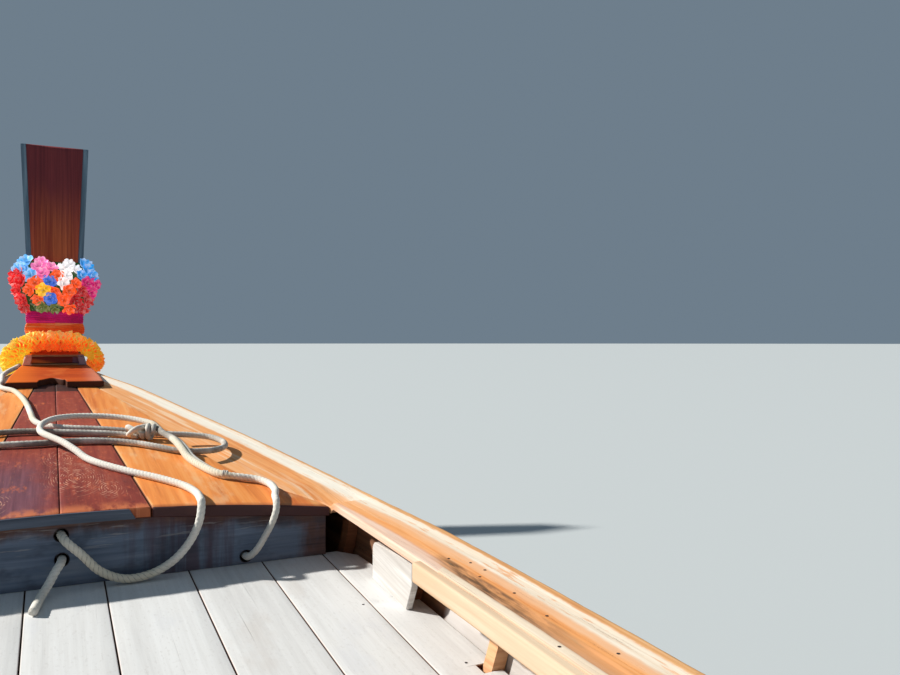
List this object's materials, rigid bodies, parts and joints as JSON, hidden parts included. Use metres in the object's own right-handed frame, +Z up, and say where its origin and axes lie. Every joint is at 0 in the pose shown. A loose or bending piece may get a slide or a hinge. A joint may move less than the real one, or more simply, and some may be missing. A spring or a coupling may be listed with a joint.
{
  "type": "longtail boat",
  "caption": "Long narrow wooden open boat with a tall garlanded prow, a decked bow, benches, a canopy and an open engine on a swivel that drives a propeller on a long tail.",
  "frame": {"origin": "on the waterline plane, on the centreline, about midway between the transom and the head of the prow", "axes": "+X forward along the boat, +Y to port, +Z up"},
  "size_m": [14.5769, 2.2994, 3.0281],
  "materials": {
    "hull_wood": "oiled and weathered brown planking",
    "varnished_wood": "bright orange-brown varnish, worn",
    "redwood": "dark red-brown varnish, scratched",
    "new_wood": "pale bare timber",
    "grey_wood": "weathered bare timber",
    "white_wood": "white paint, worn",
    "blue_grey_wood": "blue-grey paint, weathered",
    "orange_cloth": "woven cloth",
    "magenta_cloth": "woven cloth",
    "flowers": "artificial flowers in bands of colour",
    "marigolds": "strung flower heads",
    "canopy_pipe": "galvanised pipe",
    "canopy_cloth": "coated tarpaulin",
    "painted_steel": "chipped grey paint",
    "engine_paint": "oily blue-green paint",
    "rusty_pipe": "heat-browned rusty steel",
    "bare_steel": "hand-worn steel tube",
    "bronze": "worn bronze",
    "rope": "dirty white laid rope"
  },
  "bodies": {
    "boat": {"strake_garboard_port": "hull_wood", "strake_bottom_port": "hull_wood", "strake_bilge_port": "hull_wood", "strake_sheer_port": "hull_wood", "strake_garboard_starboard": "hull_wood", "strake_bottom_starboard": "hull_wood", "strake_bilge_starboard": "hull_wood", "strake_sheer_starboard": "hull_wood", "keel": "hull_wood", "stem_post": "redwood", "prow_cheek_port": "blue_grey_wood", "prow_cheek_starboard": "blue_grey_wood", "prow_board": "redwood", "transom": "varnished_wood", "frames": "hull_wood", "gunwale_cap_port": "varnished_wood", "gunwale_cap_starboard": "varnished_wood", "ledge_plank_port": "new_wood", "ledge_plank_starboard": "new_wood", "side_board_port": "white_wood", "side_board_starboard": "white_wood", "foredeck_middle_port": "redwood", "foredeck_middle_starboard": "redwood", "foredeck_side_port": "varnished_wood", "foredeck_side_starboard": "varnished_wood", "deck_bulkhead": "grey_wood", "breasthook": "varnished_wood", "prow_collar": "varnished_wood", "floor_plank_1": "grey_wood", "floor_plank_2": "grey_wood", "floor_plank_3": "grey_wood", "floor_plank_4": "grey_wood", "floor_plank_5": "grey_wood", "floor_plank_6": "grey_wood", "floor_plank_7": "grey_wood", "floor_plank_8": "grey_wood", "floor_plank_9": "grey_wood", "stern_deck": "grey_wood", "bench_fore": "new_wood", "bench_middle": "new_wood", "bench_aft": "new_wood", "sash_orange": "orange_cloth", "sash_magenta": "magenta_cloth", "garland_flowers": "flowers", "garland_marigold": "marigolds", "canopy_frame": "canopy_pipe", "canopy_cover": "canopy_cloth", "engine_bed": "hull_wood", "deck_line": "rope", "mooring_rope": "rope"},
    "swivel": {"swivel_yoke": "painted_steel"},
    "engine": {"tail_and_cradle": "painted_steel", "engine_block": "engine_paint", "exhaust_pipe": "rusty_pipe", "tiller_handle": "bare_steel"},
    "screw": {"propeller": "bronze"}
  },
  "joints": [
    {"name": "engine_swivel", "type": "hinge", "parent": "boat", "child": "swivel", "pos_m": [-5.2, 0, 0.69], "axis": [0, 0, 1], "range_deg": [-60, 60]},
    {"name": "engine_tilt", "type": "hinge", "parent": "swivel", "child": "engine", "pos_m": [-5.2, 0, 1], "axis": [0, 1, 0], "range_deg": [0, 30]},
    {"name": "propeller_spin", "type": "hinge", "parent": "engine", "child": "screw", "pos_m": [-8.95667, 0, -0.22062], "axis": [0.9511, 0, 0.309], "continuous": true}
  ]
}
